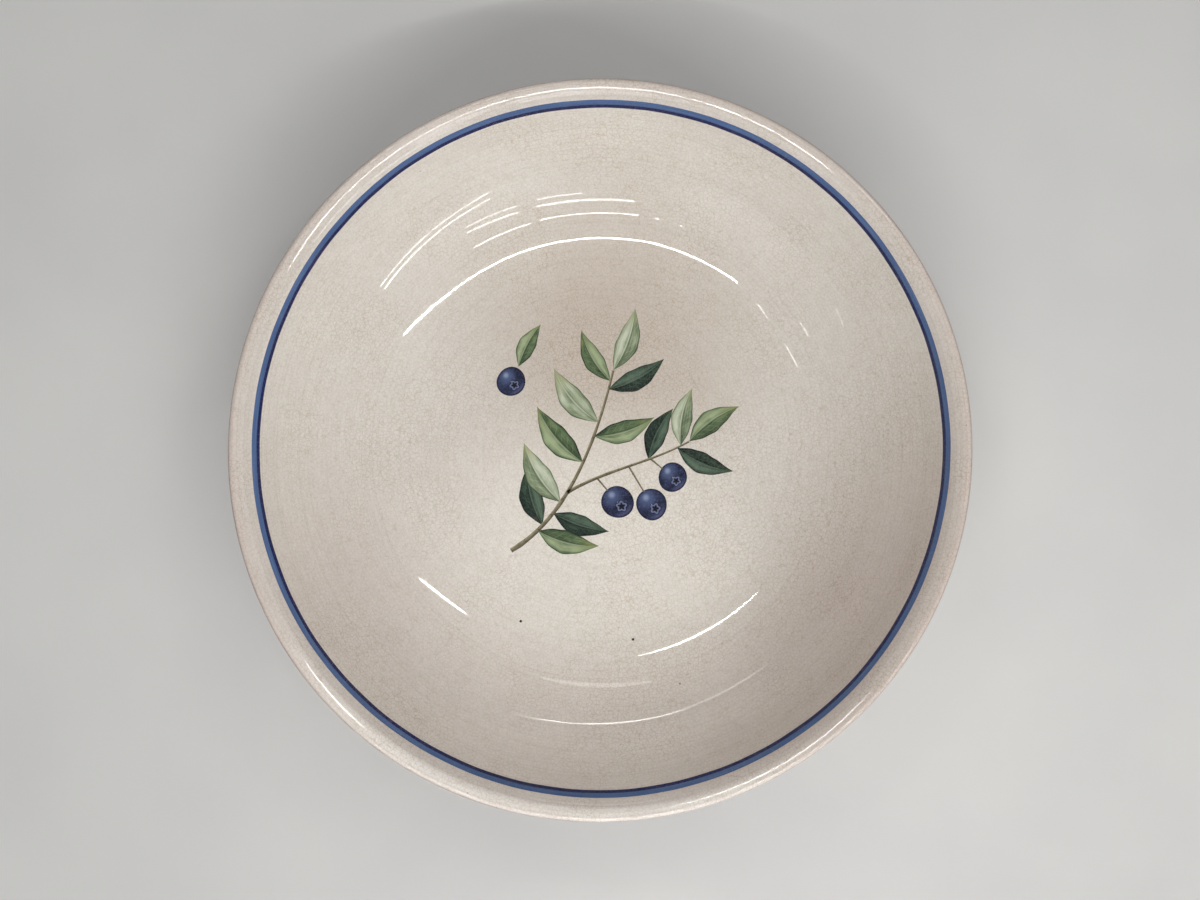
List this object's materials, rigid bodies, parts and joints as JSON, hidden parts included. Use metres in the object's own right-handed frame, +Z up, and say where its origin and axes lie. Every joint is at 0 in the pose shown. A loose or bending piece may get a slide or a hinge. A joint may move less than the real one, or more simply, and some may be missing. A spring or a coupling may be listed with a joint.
{
  "type": "serving bowl",
  "caption": "Wide shallow glazed serving bowl with a level floor, rounded lip, foot ring, a blue banded rim and a printed berry sprig on the floor.",
  "frame": {"origin": "Middle of the circle that the foot ring stands on, at table level", "axes": "+Z is up along the axis the bowl is turned on, +Y is towards the top of the print, +X is to the print's right"},
  "size_m": [0.3, 0.3, 0.071],
  "materials": {
    "clay": "matt fired clay, bare only on the standing edge of the foot",
    "glaze": "glossy warm cream glaze with fine crazing",
    "blue": "glossy fired band",
    "navy": "glossy fired line",
    "leaf_light": "glossy fired print",
    "leaf_mid": "glossy fired print",
    "leaf_dark": "glossy fired print",
    "stem": "glossy fired print",
    "berry": "glossy fired print"
  },
  "bodies": {
    "root": {"clay_body": "clay", "inside_glaze": "glaze", "outside_glaze": "glaze", "recess_glaze": "glaze", "navy_rim_line": "navy", "blue_rim_band": "blue", "sprig_stems": "stem", "sprig_berry_1": "berry", "sprig_berry_2": "berry", "sprig_berry_3": "berry", "sprig_leaf_1": "leaf_light", "sprig_leaf_2": "leaf_light", "sprig_leaf_3": "leaf_light", "sprig_leaf_4": "leaf_light", "sprig_leaf_5": "leaf_mid", "sprig_leaf_6": "leaf_mid", "sprig_leaf_7": "leaf_mid", "sprig_leaf_8": "leaf_mid", "sprig_leaf_9": "leaf_mid", "sprig_leaf_10": "leaf_dark", "sprig_leaf_11": "leaf_dark", "sprig_leaf_12": "leaf_dark", "sprig_leaf_13": "leaf_dark", "sprig_leaf_14": "leaf_dark", "loose_berry": "berry", "loose_leaf": "leaf_mid"}
  },
  "joints": []
}
